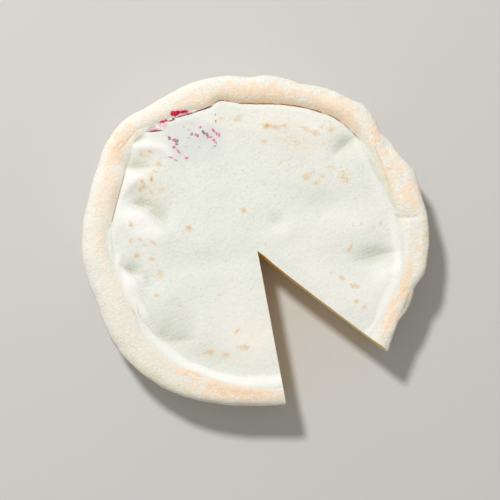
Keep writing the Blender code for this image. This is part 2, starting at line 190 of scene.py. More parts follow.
def onAxes(x, y, turn):                 # how far a place is along and beside an axis that is turned so
    turn = math.radians(turn)
    return x * math.cos(turn) + y * math.sin(turn), y * math.cos(turn) - x * math.sin(turn)


def spots(x, y, table):                 # soft ovals: x, y, half length, half width, turn, size
    total = np.zeros_like(x)
    for centreX, centreY, halfLength, halfWidth, turn, size in table:
        along, beside = onAxes(x - centreX, y - centreY, turn)
        total += size * np.exp(-(along / halfLength) ** 2 - (beside / halfWidth) ** 2)
    return total


def polar(points):                      # direction and reach from the knife point
    direction = np.degrees(np.arctan2(points[:, 1], points[:, 0])) % 360
    return direction, np.hypot(points[:, 0], points[:, 1])


def furrows(x, y, table):               # valleys with a sharp bottom, one bank steeper than the other
    total = np.zeros_like(x)
    for centreX, centreY, halfLength, leftWidth, rightWidth, turn, depth in table:
        along, beside = onAxes(x - centreX, y - centreY, turn)
        bank = np.where(beside > 0, beside / leftWidth, -beside / rightWidth)
        total += depth * np.exp(-(along / halfLength) ** 2) * np.exp(-bank)
    return total


def marginShare(x, y):                  # 0 on the plate, 1 where it meets the roll
    level = np.column_stack([x, y, np.zeros_like(x)])
    direction, reach = polar(level)
    far, near = wheel["marginReach"]
    far = far + lobes(direction, wheel["marginLobes"]) + lumps(level, *wheel["marginWander"])
    climb = np.clip((reach - creaseReach(direction) + far) / (far - near), 0, 1)
    return climb ** 2 * (3 - 2 * climb)


def marginRise(x, y):
    return alongRim(polar(np.column_stack([x, y]))[0], 6) * marginShare(x, y)


def plateTop(x, y):
    level = np.stack([x, y, np.zeros_like(x)], axis=1)
    form = spots(x, y, wheel["topRelief"]) - furrows(x, y, wheel["furrows"])
    return (wheel["plateHeight"] + form + marginRise(x, y)
            + lumps(level, *wheel["topLump"]) + lumps(level, *wheel["fineTopLump"]))


def foldRise(share, sharpness):         # the plate's edge
    steep = (1 - (1 - share) ** wheel["foldPower"]) ** (1 / wheel["foldPower"])
    soft = share ** 2 * (3 - 2 * share)
    return soft + (steep - soft) * sharpness


def wallRise(share, sharpness):         # the roll's inner wall
    steep = 1 - (1 - share) ** wheel["wallPower"]
    soft = share ** 2 * (3 - 2 * share)
    return soft + (steep - soft) * sharpness


def sectionRows(direction):
    # Every ring of the wheel as rows of x, y, z from the knife point: base, side, roll, crease, plate
    rings = wheel["rings"]
    turn = np.radians(direction)
    ahead = np.stack([np.cos(turn), np.sin(turn)], axis=1)
    rim, crease, gap = rimReach(direction), creaseReach(direction), gapWidth(direction)
    place, crestHeight, depth, sharpness = [alongRim(direction, column) for column in (2, 3, 4, 5)]
    crest = crease + (rim - crease) * place
    edge = wheel["valleyEdge"] + (wheel["foldEdge"] - wheel["valleyEdge"]) * sharpness
    corner = rim - wheel["undercut"]
    side, bulge = wheel["sideHeight"], wheel["sideBulge"]
    size = 1 + lobes(direction, wheel["shoulderLobes"])
    sideTop = crestHeight - wheel["shoulderDrop"] * size
    shoulder = np.minimum(rim - crest - wheel["leastShoulder"], wheel["shoulderBreadth"] * size)
    pole = np.array(wheel["pole"])
    rows = []

    def addRow(reach, height):
        rows.append(np.column_stack([ahead * reach[:, None], height + 0 * reach]))

    for share in np.linspace(0, 1, rings["base"]):
        flat = pole + (ahead * corner[:, None] - pole) * share
        rows.append(np.column_stack([flat, 0 * corner]))
    for ring in range(1, rings["underside"] + 1):
        bend = math.pi / 2 * ring / rings["underside"]
        addRow(corner + wheel["undercut"] * math.sin(bend) ** (2 / wheel["undersidePower"]),
               side * (1 - abs(math.cos(bend)) ** (2 / wheel["undersidePower"])))
    for ring in range(1, rings["side"] + 1):
        share = ring / rings["side"]
        addRow(rim - bulge * share ** 2, side + (sideTop - side) * share)
    for ring in range(1, rings["shoulder"] + 1):
        bend = math.pi / 2 * ring / rings["shoulder"]
        addRow(rim - shoulder + (shoulder - bulge) * abs(math.cos(bend)) ** (2 / wheel["shoulderPower"]),
               sideTop + (crestHeight - sideTop) * math.sin(bend) ** (2 / wheel["shoulderPower"]))
    for ring in range(1, rings["roll"] + 1):
        addRow(rim - shoulder + (crest - rim + shoulder) * ring / rings["roll"], crestHeight)
    bottom = plateTop(ahead[:, 0] * crease, ahead[:, 1] * crease) - depth
    for ring in range(rings["wall"] - 1, -1, -1):
        share = ring / rings["wall"]
        addRow(crease + gap + (crest - crease - gap) * share,
               bottom + (crestHeight - bottom) * wallRise(share, sharpness))
    for ring in range(1, rings["gap"] + 1):
        addRow(crease + gap * (1 - ring / rings["gap"]), bottom)
    for ring in range(1, rings["edge"] + 1):
        share = ring / rings["edge"]
        reach = crease - edge * share
        top = plateTop(ahead[:, 0] * reach, ahead[:, 1] * reach)
        addRow(reach, top - depth * (1 - foldRise(share, sharpness)))
    crowding = wheel["plateCrowding"]
    for share in np.linspace(1, 0, rings["plate"] + 1)[1:]:
        flat = pole + (ahead * (crease - edge)[:, None] - pole) * share * (1 + crowding - crowding * share)
        rows.append(np.column_stack([flat, plateTop(flat[:, 0], flat[:, 1])]))
    return np.array(rows)


def rollShare(direction, reach):        # 0 at the crease, 1 at the widest side, below 0 on the plate
    crease = creaseReach(direction)
    return (reach - crease) / (rimReach(direction) - crease)


def unevenRoll(points):
    # The roll swells and sinks, most where it stands free, and its base stays flat
    direction, reach = polar(points)
    share = np.clip(rollShare(direction, reach), 0, None)
    side, top = wheel["sideHeight"], wheel["rimHeight"]
    rise = np.minimum(1, points[:, 2] / side)
    above = np.clip(points[:, 2] - side, 0, None) / (top - side)
    world = points + [*wheel["knifePoint"], 0]
    swelling = sum(lumps(world, *wheel[name]) for name in ("rimLump", "fineRimLump", "grit"))
    swelling *= np.minimum(1, share / wheel["lumpStart"]) * rise
    dent = np.zeros_like(share)
    for centre, spread, place, breadth, size in wheel["rollDents"]:
        dent += lobes(direction, [(centre, spread, size)]) * np.exp(-((share - place) / breadth) ** 2)
    turn = np.radians(direction)
    outward = np.stack([np.cos(turn), np.sin(turn), np.full_like(turn, wheel["lumpLift"])], axis=1)
    moved = points + outward * swelling[:, None]
    moved[:, 2] += (dent - furrows(points[:, 0], points[:, 1], wheel["rollFurrows"])) * above * (share > 0)
    return moved


def readPoints(mesh):
    flat = np.empty(len(mesh.vertices) * 3, np.float32)
    mesh.vertices.foreach_get("co", flat)
    return flat.reshape(-1, 3).astype(float) / mm - [*wheel["knifePoint"], 0]


def writePoints(mesh, points):
    mesh.vertices.foreach_set("co", ((points + [*wheel["knifePoint"], 0]) * mm).astype(np.float32).ravel())
    mesh.update()


def selectNothing():
    if bpy.context.object and bpy.context.object.mode != "OBJECT":
        bpy.ops.object.mode_set(mode="OBJECT")
    bpy.ops.object.select_all(action="DESELECT")


def spinWheel():
    # A ring of points becomes the open half section, and a spin turns it into the whole wheel
    steps = wheel["turnSteps"]
    rows = sectionRows(np.arange(steps) * 360 / steps)
    ringCount = len(rows)
    selectNothing()
    bpy.ops.mesh.primitive_circle_add(vertices=ringCount, radius=10 * mm)
    piece = bpy.context.object
    piece.name = piece.data.name = "cheeseWheel"
    mesh = piece.data
    ringNumbers = mesh.attributes.new("ring", "INT", "POINT")
    ringNumbers.data.foreach_set("value", np.arange(ringCount, dtype=np.int32))
    poleX, poleY = wheel["pole"]
    section = rows[:, 0, :].copy()
    section[:, 0] = np.hypot(section[:, 0] - poleX, section[:, 1] - poleY) + poleX
    section[:, 1] = poleY
    writePoints(mesh, section)
    bpy.ops.object.mode_set(mode="EDIT")
    bpy.ops.mesh.select_mode(type="EDGE")
    bpy.ops.mesh.select_all(action="DESELECT")
    bpy.ops.object.mode_set(mode="OBJECT")
    for edge in mesh.edges:             # the edge that would close the section along the axis
        edge.select = set(edge.vertices) == {0, ringCount - 1}
    bpy.ops.object.mode_set(mode="EDIT")
    bpy.ops.mesh.delete(type="EDGE")
    bpy.ops.mesh.select_all(action="SELECT")
    centre = ((poleX + wheel["knifePoint"][0]) * mm, (poleY + wheel["knifePoint"][1]) * mm, 0)
    part = 2 * math.pi / wheel["turnParts"]
    bpy.ops.mesh.spin(steps=steps // wheel["turnParts"], angle=part, center=centre, axis=(0, 0, 1))
    bpy.ops.mesh.select_all(action="SELECT")
    bpy.ops.mesh.spin(steps=wheel["turnParts"] - 1, angle=2 * math.pi - part, center=centre, axis=(0, 0, 1),
                      dupli=True)
    bpy.ops.mesh.select_all(action="SELECT")
    bpy.ops.mesh.remove_doubles(threshold=wheel["mergeDistance"] * mm)
    bpy.ops.mesh.normals_make_consistent(inside=False)
    bpy.ops.object.mode_set(mode="OBJECT")
    points = readPoints(mesh)
    ring = np.empty(len(points), np.int32)
    mesh.attributes["ring"].data.foreach_get("value", ring)
    bearing = np.degrees(np.arctan2(points[:, 1] - poleY, points[:, 0] - poleX))
    turn = np.round(bearing * steps / 360).astype(int) % steps
    writePoints(mesh, unevenRoll(rows[ring, turn]))
    mesh.attributes.remove(mesh.attributes["ring"])
    return piece


# The cut: a box bisected along both strokes of the knife is taken out of the wheel

cut = {
    "boxSize": 180.0,
    "clearance": 6.0,                   # above and below the wheel
    "wallCells": 84,
    "bulge": 0.28,                      # how far the soft paste swells out of the cut
    "tipLength": 4.0,                   # the walls stay straight this near the tip of the cut
    "leftShift": -0.6,                  # the left wall stands back by this much
    # How far the right wall's top leans out, at these distances from the tip
    "lean": ((4, 9, 15, 30, 45, 62, 70, 78), (0, 0.4, 0.6, 0.8, 0.9, 0.9, 0.6, 0.4)),
    "leanTop": 1.3,                     # the lean stops growing at this many times the plate's height
    "squareness": 4,                    # the swelling is even up the wall and ends sharply at the rind
    "drag": (11.0, 11.0, 1.3),          # spacing of the marks that the knife drags along the paste
    "dragSize": 0.12,
    "lump": (6.0, 0.16),
    "wallFacing": 0.999,                # a face of the box whose normal is this near a stroke's is a wall
    "wallTouch": 0.01,
    "nearWall": (12, 2.0),              # points this near a stroke, in degrees and mm, may lie on its wall
    "sharpAngle": 40,
}


def leftOf(direction):
    turn = math.radians(direction)
    return np.array([-math.sin(turn), math.cos(turn), 0])


def wedgeCutter():
    tall = wheel["rimHeight"] + 2 * cut["clearance"]
    knife = np.array([*wheel["knifePoint"], 0]) * mm
    selectNothing()
    bpy.ops.mesh.primitive_cube_add(size=1, location=(*knife[:2], wheel["rimHeight"] / 2 * mm),
                                    scale=(cut["boxSize"] * mm, cut["boxSize"] * mm, tall * mm))
    piece = bpy.context.object
    piece.name = "wedgeCutter"
    bpy.ops.object.transform_apply(location=True, rotation=True, scale=True)
    bpy.ops.object.mode_set(mode="EDIT")
    right, left = wheel["cuts"]
    for direction, outer, shift in ((right, True, 0), (left, False, cut["leftShift"])):
        across = leftOf(direction)
        bpy.ops.mesh.select_all(action="SELECT")
        bpy.ops.mesh.bisect(plane_co=knife + across * shift * mm, plane_no=across, use_fill=True,
                            clear_outer=outer, clear_inner=not outer)
    bpy.ops.mesh.select_all(action="SELECT")
    bpy.ops.mesh.normals_make_consistent(inside=False)
    bpy.ops.mesh.select_mode(type="FACE")
    bpy.ops.mesh.select_all(action="DESELECT")
    bpy.ops.object.mode_set(mode="OBJECT")
    for face in piece.data.polygons:
        facing = [abs(np.dot(face.normal, leftOf(direction))) for direction in wheel["cuts"]]
        face.select = bool(max(facing) > cut["wallFacing"])
    bpy.ops.object.mode_set(mode="EDIT")
    bpy.ops.mesh.subdivide(number_cuts=cut["wallCells"])
    bpy.ops.object.mode_set(mode="OBJECT")
    return piece


def roughenCut(piece):
    mesh = piece.data
    points = readPoints(mesh)
    middle = wheel["plateHeight"] / 2
    upright = 1 - np.clip(np.abs(points[:, 2] - middle) / middle, 0, 1) ** cut["squareness"]
    right, left = [leftOf(direction) for direction in wheel["cuts"]]
    tip = np.linalg.solve([right[:2], left[:2]], [0, cut["leftShift"]])
    away = np.hypot(points[:, 0] - tip[0], points[:, 1] - tip[1])
    fade = np.clip(away / cut["tipLength"], 0, 1)
    lean = np.interp(away, *cut["lean"]) * np.clip(points[:, 2] / wheel["plateHeight"], 0, cut["leanTop"])
    drag = lumps(points / np.array(cut["drag"]), 1.0, cut["dragSize"]) + lumps(points, *cut["lump"])
    for across, stands, inward, leans in ((right, 0, -1, lean), (left, cut["leftShift"], 1, 0 * lean)):
        onWall = np.abs(points @ across - stands) < cut["wallTouch"]
        shift = ((cut["bulge"] + drag) * upright * fade + leans) * onWall
        points = points + across * inward * shift[:, None]
    writePoints(mesh, points)


def cutWedge(piece, cutter, rindFinish, pasteFinish):
    piece.data.materials.append(rindFinish)
    cutter.data.materials.append(pasteFinish)
    selectNothing()
    bpy.context.view_layer.objects.active = piece
    boolean = piece.modifiers.new("cut", "BOOLEAN")
    boolean.operation = "DIFFERENCE"
    boolean.solver = "EXACT"
    boolean.material_mode = "TRANSFER"
    boolean.object = cutter
    bpy.ops.object.modifier_apply(modifier="cut")
    bpy.data.objects.remove(cutter)
    piece.select_set(True)
    bpy.ops.object.shade_smooth_by_angle(angle=math.radians(cut["sharpAngle"]))


# What is painted on the wheel's points, for the finishes to read

stains = {
    "peach": [                          # direction, spread, share of the roll, spread of it, amount
        (62, 16, 0.36, 0.4, 0.98), (88, 18, 0.34, 0.36, 1.05), (112, 14, 0.32, 0.34, 0.72),
        (128, 10, 0.48, 0.4, 0.5), (143, 11, 0.52, 0.34, 0.98), (160, 11, 0.4, 0.42, 0.75),
        (176, 11, 0.3, 0.36, 0.64), (195, 12, 0.24, 0.4, 0.38), (218, 14, 0.3, 0.42, 0.38),
        (229, 7, 0.1, 0.16, 0.75), (240, 9, 0.1, 0.24, 1.3), (262, 18, 0.36, 0.52, 1.25),
        (276, 10, 0.45, 0.5, 0.6), (-27, 9, 0.46, 0.52, 0.84), (-16, 8, 0.36, 0.42, 1.12),
        (-8, 8, 0.24, 0.3, 0.86), (3, 8, 0.5, 0.45, 0.5), (20, 10, 0.5, 0.45, 0.66),
        (35, 10, 0.52, 0.42, 0.62), (47, 8, 0.6, 0.45, 0.65)],
    "coarse": [
        (25, 30, 0.9), (75, 25, 1), (110, 16, 0.9), (257, 22, 1), (-18, 16, 1), (142, 12, 0.8)],
    "sidePeach": (0.5, 3),              # amount all round the side, and how soon it starts under the roll
    # painted shade on the lower left of the roll: direction, spread, amount
    "paintedShade": [(208, 24, 1.0)],
    "early": [(250, 22, 0.12), (-25, 14, 0.08)],  # where the peach starts inside the crease
    "straw": [
        (260, 18, 0.82, 0.3, 1), (234, 20, 0.86, 0.26, 0.7), (5, 14, 0.84, 0.2, 0.9),
        (-25, 10, 0.85, 0.25, 0.7), (62, 11, 0.2, 0.26, 1.3), (32, 9, 0.15, 0.22, 0.6),
        (90, 18, 0.14, 0.22, 0.9)],
    "ink": [                            # from and to, fade, amount, then how mauve it is
        (64.8, 107, 1, 1, 0), (57.5, 64, 0.8, 0.8, 0.1), (48.5, 57, 1.5, 0.65, 0.3),
        (107, 112, 1, 0.7, 0.6), (149.5, 170, 1.5, 0.6, 0.2), (204, 208.5, 1, 0.2, 0.3)],
    # olive tint of the roll's inner wall, partly painted shade: direction, spread, amount
    "wallTintAndShade": [
        (60, 12, 0.35), (85, 15, 0.7), (105, 10, 0.7), (147, 10, 0.2), (160, 8, 0.5), (30, 16, 0.35)],
    "tan": [
        (3.6, 54.3, 1.6, 1, 8, 0.85), (7.2, 53.8, 1.7, 1.1, -12, 0.9), (10.8, 54.4, 1.7, 0.8, -5, 0.8),
        (2.6, 54.8, 2.4, 1.2, 0, 0.6), (2.1, 47.5, 1.6, 1, 0, 0.7), (19.6, 53.2, 2.2, 1.2, -8, 0.7),
        (24.4, 51.2, 2.4, 1.4, -20, 0.75), (27, 54, 1.6, 0.9, 0, 0.7), (31, 52.5, 2, 1.6, 0, 0.7),
        (20.2, 32, 1.8, 1.4, 0, 0.9), (24.2, 29.8, 2, 1, 0, 0.9), (27, 32.6, 1.2, 1.2, 0, 0.8),
        (22.5, 34, 2.4, 0.9, 10, 0.7), (30.8, 36.4, 2.4, 0.8, -10, 0.6), (36.5, 32.5, 3.4, 3.4, 0, 0.6),
        (41.5, 23.1, 1, 1, 0, 0.6), (-30, 10.3, 1.5, 1, 20, 1.4), (-6.4, 18, 1.3, 1, 0, 1.1),
        (-49.9, 30.3, 1.5, 0.9, 0, 1.1), (-46.1, 30.8, 0.9, 1.4, 0, 1.1), (-49.3, 27.9, 1, 0.9, 0, 1),
        (-50.9, 26.6, 1, 0.9, 0, 1), (-46.4, 25.8, 1.6, 0.8, -50, 0.9), (-41.6, 27.4, 2.6, 2.4, 0, 0.55),
        (-50.4, 42, 1.3, 0.9, 0, 1), (-47, 43.1, 1.5, 0.9, 0, 1.1), (-47.9, 41.2, 1.6, 0.6, -10, 0.9),
        (-42.9, 37.8, 1.6, 1, 10, 1), (-44.6, 34.5, 1.5, 0.7, 5, 0.9), (-46.2, 32.6, 0.6, 1.6, 0, 0.7),
        (-54.8, 11.6, 1.1, 1.8, 0, 0.65), (-54.7, 4.4, 0.9, 1.2, 0, 0.9), (-50.9, 5.4, 0.8, 0.9, 0, 0.9),
        (-48.8, 3, 1, 0.7, 0, 0.8), (-45.4, 4, 2.2, 0.6, -30, 0.8), (-52.2, -1.3, 1.4, 1.4, 0, 0.6),
        (-45.8, -3.2, 1.4, 0.9, 0, 1), (-42.2, -9.2, 1.7, 2.4, 0, 0.8), (-44, -18.6, 1, 0.9, 0, 1.1),
        (-33, -23.1, 1, 1, 0, 0.7), (-17.1, -18.4, 0.9, 1.1, 0, 0.6), (-21, -42.8, 2.4, 1.2, 10, 0.85),
        (-14.4, -44, 1.8, 1.6, 0, 0.85), (-6, -41, 4, 1.6, -5, 0.65), (-9.4, -33.8, 1.6, 0.6, 40, 1.1),
        (-9.8, -2.1, 1, 0.9, -30, 0.6), (2.6, 3, 1.2, 1, 0, 0.5), (-3.4, -15.8, 0.8, 0.8, 0, 0.6),
        (9.4, 38.5, 1, 1, 0, 0.7), (35.4, -11.2, 1.8, 1, -30, 0.85), (40.7, -14.6, 2.3, 1.3, -10, 0.85),
        (41.5, -21.4, 1.2, 1.2, 0, 0.85), (44.9, -23.5, 0.9, 1.7, -20, 0.7), (38.9, 1.7, 2.6, 0.7, 62, 0.9),
        (-8.8, 58.5, 1.3, 1.2, 0, 0.7), (26.6, -19.5, 1.6, 1.2, 0, 0.55), (43.8, 12.1, 0.9, 1.2, 0, 0.6),
        (40.4, 11.6, 0.7, 0.9, 0, 0.6), (49.2, 11, 0.7, 1.2, 0, 0.6), (31, -8.6, 1.2, 0.9, 0, 0.7),
        (-16.2, 57.3, 2, 1.1, 0, 0.6), (16.6, -4, 1, 0.8, 0, 0.4), (13, 47.8, 9, 4, -8, 0.35),
        (-10, 57, 2.6, 1, -5, 0.6), (52, 12, 1.2, 1.2, 0, 0.6), (-52.6, -1.7, 1.2, 0.8, 0, 0.5),
        (-58, 46.5, 6, 0.6, 52, 0.45)],
    "blush": [
        (2, 55, 20, 5, 0, 0.7), (-3, -36, 9, 12, 10, 0.7), (-14, -44.5, 12, 3, -10, 0.5),
        (22, 45, 16, 8, 0, 0.45), (-47, 28, 7, 12, 0, 0.4), (38, -16, 8, 9, 0, 0.2)],
    "worn": [(-27.9, 48.0, 12.5, 9.5, -8, 1.5)],
    "deepest": 2.2,                     # mm of relief past which the painted shade and highlight grow no more
    "highest": 2.0,
    "steepest": 1.6,
    "lip": (0.3, 1.2, 0.02),            # painted highlight along the plate's lip, the most of it, and where it ends
    # painted light: patches painted whiter on the plate and on the shadow side of the roll
    "white": [
        (38, 14, 17, 9, 0, 0.9), (52, -12, 8, 12, -20, 0.7), (16, 6, 12, 7, 0, 0.5),
        (25, -9, 16, 7, -35, 0.8), (33, -21, 6, 4, -35, 0.7), (-8, -28, 13, 18, 0, 1),
        (-1, -38, 9, 7, 0, 1.1), (68.5, 12, 4, 13, 0, 0.9)],
}

# Dye worn down to flecks on the plate, and run into the crease beside it: x, y, half length, half width, turn

dyeMarks = {
    "pink": [
        (-36.5, 48.2, 0.8, 0.7, 0), (-36.6, 45, 0.7, 0.7, 0), (-34.6, 43.3, 1.5, 0.4, -53),
        (-37.8, 40.7, 1, 0.3, -20), (-35.6, 39.3, 1.1, 0.3, -35), (-31.1, 40.4, 0.9, 0.5, 0),
        (-27, 50.4, 0.9, 0.6, -10), (-25.2, 53.7, 0.8, 0.5, 30), (-21.2, 49.4, 1.3, 0.4, 8),
        (-19.5, 52.3, 1.1, 0.5, -55), (-18.3, 51.1, 1, 0.4, -55), (-17.1, 50.4, 0.45, 1, 0),
        (-19.5, 48.2, 0.7, 0.7, 0), (-18.4, 46.9, 0.9, 0.3, -55), (-18.6, 56.4, 0.3, 0.7, 0),
        (-18.6, 59.2, 0.3, 0.5, 0)],
    "purple": [
        (-38.5, 49.1, 0.9, 0.6, -50), (-35.6, 47.9, 1, 0.8, -40), (-35.4, 46.4, 0.6, 0.5, 0),
        (-29, 50.7, 0.6, 0.7, 0), (-26.2, 50.1, 0.6, 0.6, 0), (-23.9, 51.6, 1.1, 0.6, -50),
        (-22.3, 50.6, 1, 0.6, -60), (-19.1, 45.5, 0.6, 0.3, 20)],
    "grey": [
        (-30.1, 52.6, 0.7, 0.4, -20), (-29.1, 55.5, 0.45, 0.45, 0), (-27.8, 54.7, 0.6, 0.3, 0),
        (-30.3, 49.1, 0.8, 0.4, -20), (-31.4, 45.2, 0.6, 0.4, 0), (-25.7, 45, 0.7, 0.4, -30),
        (-20, 44.5, 0.3, 0.4, 0), (-32.1, 53.9, 0.6, 0.3, -20)],
    "faded": [                          # pale pink in the opened crease
        (-43, 53.9, 4, 1.5, 18), (-33.5, 59.2, 3.4, 0.8, 14), (-46, 53.2, 2, 0.7, 15)],
    "maroon": [
        (-45, 52.2, 3.4, 0.35, 4), (-37.9, 56.7, 1.3, 0.35, 15), (-36.8, 57.4, 0.6, 0.7, 50),
        (-33.8, 58.6, 3, 0.28, 14), (-30, 59.7, 2.2, 0.45, 14), (-26, 61, 2.4, 0.4, 20),
        (-22.4, 62.2, 2.4, 0.4, 20)],
    "red": [
        (-36.9, 59.8, 0.9, 0.8, -30), (-34.9, 60.3, 1.3, 0.55, 14), (-32.4, 60.6, 1.5, 0.5, 4),
        (-35.6, 59.2, 0.9, 0.4, 20), (-41, 56.4, 1.4, 0.4, 15)],
}

# Thin lines on the rind, each a very long oval: x, y, half length, half width, turn

lines = {
    "edge": [                           # the lips of folds in the roll
        (-51.4, -25.2, 2.8, 0.35, -78), (-57.4, 47, 4.6, 0.35, 50), (51.2, 41, 5.5, 0.4, -69),
        (55.2, 30, 5, 0.4, -73)],
    "shade": [                          # painted shade beside them, and in the valleys along the roll
        (-62.8, 1.8, 8, 0.7, 96), (63.8, -22.4, 4.8, 1.2, 65), (-54.5, 27, 1.4, 5.4, -40),
        (-56.6, 38, 7, 0.9, 75), (-51.5, 48.8, 2.8, 1.1, 30), (50.4, 34.6, 8.4, 1.3, -61),
        (56.6, 22.6, 5, 0.9, -68)],
    "fold": [                           # the shadow under flaps
        (59.6, 15.5, 1.8, 0.4, -24), (62.6, 14.8, 2.6, 0.4, 0), (66.4, 15.4, 1.8, 0.4, 22),
        (62.2, -22.4, 2.6, 0.3, 62), (-56.5, 39, 4.6, 0.45, 74), (-51.6, 49, 2.4, 0.5, 32)],
}


def windows(direction, start, end, fade):
    middle, half = (start + end) / 2, (end - start) / 2
    away = np.abs((direction - middle + 180) % 360 - 180)
    return np.clip((half + fade - away) / (2 * fade), 0, 1)


def paint(mesh, name, values):
    mesh.attributes.new(name, "FLOAT", "POINT").data.foreach_set("value", values.astype(np.float32))


def paintWheel(piece):
    mesh = piece.data
    points = readPoints(mesh)
    direction, reach = polar(points)
    x, y = points[:, 0], points[:, 1]
    share = rollShare(direction, reach)
    rollPlace = share + lobes(direction, stains["early"])
    under = np.clip((wheel["sideHeight"] - points[:, 2]) / wheel["sideHeight"], 0, 1)
    onTop = points[:, 2] > wheel["plateHeight"] / 2
    ring = {}
    for name in ("peach", "straw"):
        ring[name] = np.zeros_like(x)
        for centre, spread, place, breadth, amount in stains[name]:
            across = np.exp(-((rollPlace + under - place) / breadth) ** 2)
            ring[name] = np.maximum(ring[name], lobes(direction, [(centre, spread, amount)]) * across)
    sideAmount, sideStart = stains["sidePeach"]
    onSide = sideAmount * np.clip(under * sideStart, 0, 1)
    peach = np.where(rollPlace > 0, np.maximum(ring["peach"], onSide), 0)
    ink, mauve = np.zeros_like(x), np.zeros_like(x)
    for start, end, fade, amount, purple in stains["ink"]:
        inside = windows(direction, start, end, fade)
        ink = np.maximum(ink, inside * amount)
        mauve = np.maximum(mauve, inside * purple)
    paint(mesh, "fromCrease", reach - creaseReach(direction))
    paint(mesh, "rollShare", rollPlace + under)
    paint(mesh, "peach", peach)
    paint(mesh, "straw", ring["straw"] * (share > 0))
    paint(mesh, "coarse", np.clip(lobes(direction, stains["coarse"]), 0, 1))
    paint(mesh, "paintedShade", lobes(direction, stains["paintedShade"]) * (share > 0))
    paint(mesh, "ink", ink * onTop)
    paint(mesh, "mauve", mauve)
    paint(mesh, "top", onTop.astype(float))
    paint(mesh, "wallTintAndShade", lobes(direction, stains["wallTintAndShade"]) * onTop)
    for name in ("tan", "blush", "worn", "white"):
        paint(mesh, name, spots(x, y, stains[name]) * onTop)
    form = spots(x, y, wheel["topRelief"]) - furrows(x, y, wheel["furrows"])
    climb = marginShare(x, y)
    steepest = stains["steepest"]
    slope = 4 * climb * (1 - climb) * np.clip(alongRim(direction, 6), 0, steepest) / steepest
    lip, lipMost, lipEnd = stains["lip"]
    # Painted highlight on the plate's higher parts and on its slope up to the roll, painted shade in its
    # hollows
    raisedHighlight = np.clip(form, 0, stains["highest"]) * (share < 0) + np.clip(slope + climb * lip, 0, lipMost)
    paint(mesh, "hollow", np.clip(-form, 0, stains["deepest"]) * onTop * (share < 0))
    paint(mesh, "raisedHighlight", raisedHighlight * onTop * (share < lipEnd))
    paint(mesh, "skinDepth", skinDepth(points, direction))


def skinDepth(points, direction):
    # On the cut walls, how far a point lies under the rind
    depth = np.zeros(len(points))
    nearTurn, nearDistance = cut["nearWall"]
    for wall in wheel["cuts"]:
        away = np.abs((direction - wall + 180) % 360 - 180)
        near = np.where((away < nearTurn) & (np.abs(points @ leftOf(wall)) < nearDistance))[0]
        rows = sectionRows(np.array([float(wall)]))[:, 0, :]
        along = np.cross(leftOf(wall), [0, 0, 1])
        profile = np.column_stack([rows @ along, rows[:, 2]])
        profile = profile[profile[:, 0] > 0]
        spot = np.column_stack([points[near] @ along, points[near, 2]])
        nearest = np.full(len(near), np.inf)
        for start, end in zip(profile[:-1], profile[1:]):
            run = end - start
            share = np.clip(((spot - start) @ run) / max(run @ run, 1e-9), 0, 1)
            nearest = np.minimum(nearest, np.linalg.norm(spot - start - share[:, None] * run, axis=1))
        depth[near] = nearest
    return depth


# Shader maths: a wire is a socket's output, and an expression on wires adds Math nodes

class Wire:
    def __init__(self, tree, output):
        self.tree = tree
        self.output = output

    def node(self, kind, settings, sockets, result=0):
        made = self.tree.nodes.new(kind)
        for name, value in settings.items():
            setattr(made, name, value)
        for name, value in sockets.items():
            if isinstance(value, Wire):
                self.tree.links.new(value.output, made.inputs[name])
            else:
                made.inputs[name].default_value = value
        return Wire(self.tree, made.outputs[result] if made.outputs else None)

    def maths(self, operation, *values):
        return self.node("ShaderNodeMath", {"operation": operation}, dict(enumerate(values)))

    def __add__(self, other):
        return self.maths("ADD", self, other)

    def __sub__(self, other):
        return self.maths("SUBTRACT", self, other)

    def __rsub__(self, other):
        return self.maths("SUBTRACT", other, self)

    def __mul__(self, other):
        return self.maths("MULTIPLY", self, other)

    def __abs__(self):
        return self.maths("ABSOLUTE", self)

    __radd__ = __add__
    __rmul__ = __mul__

    def layer(self, steps):             # 0 up to where it starts, and its whole amount from where it is full
        start, full, amount = steps
        share = self.node("ShaderNodeMapRange", {"interpolation_type": "SMOOTHSTEP"},
                          {"Value": self, "From Min": start, "From Max": full})
        return share if amount == 1 else share * amount


def newFinish(name):
    # A new material, with its surface's place in mm from the knife point
    material = bpy.data.materials.new(name)
    material.use_nodes = True
    tree = material.node_tree
    tree.nodes.clear()
    start = Wire(tree, tree.nodes.new("ShaderNodeTexCoord").outputs["Object"])
    knifeX, knifeY = wheel["knifePoint"]
    place = start.node("ShaderNodeMapping", {}, {"Vector": start, "Location": (-knifeX, -knifeY, 0),
                                                 "Scale": (1 / mm, 1 / mm, 1 / mm)})
    return material, place


def painted(place, name):
    return place.node("ShaderNodeAttribute", {"attribute_name": name}, {}, "Fac")


def grain(place, spacing, detail=2.0, roughness=0.5):
    return place.node("ShaderNodeTexNoise", {}, {"Vector": place, "Scale": 1 / spacing, "Detail": detail,
                                                 "Roughness": roughness})


def swing(pattern, size):               # a grain that goes as far below 0 as above it
    return (pattern - 0.5) * size


def turned(place, turn, stretch):       # the place turned and stretched, for a pattern that runs one way
    return place.node("ShaderNodeMapping", {"vector_type": "TEXTURE"},
                      {"Vector": place, "Rotation": (0, 0, math.radians(turn)), "Scale": stretch})


def blend(share, first, second):
    return share.node("ShaderNodeMix", {"data_type": "RGBA"}, {0: share, 6: first, 7: second}, 2)


def bumps(height, depth, under=None):   # depth in mm
    sockets = {"Height": height, "Distance": depth * mm, "Strength": 1.0}
    if under:
        sockets["Normal"] = under
    return height.node("ShaderNodeBump", {}, sockets)


def linear(value):                      # the light of a display value from 0 to 255
    share = value / 255
    return share / 12.92 if share <= 0.04045 else ((share + 0.055) / 1.055) ** 2.4


def tone(red, green, blue):
    return linear(red), linear(green), linear(blue), 1.0


def surface(material, place, sockets):
    made = place.node("ShaderNodeBsdfPrincipled", {}, sockets)
    place.node("ShaderNodeOutputMaterial", {}, {"Surface": made})
    return material


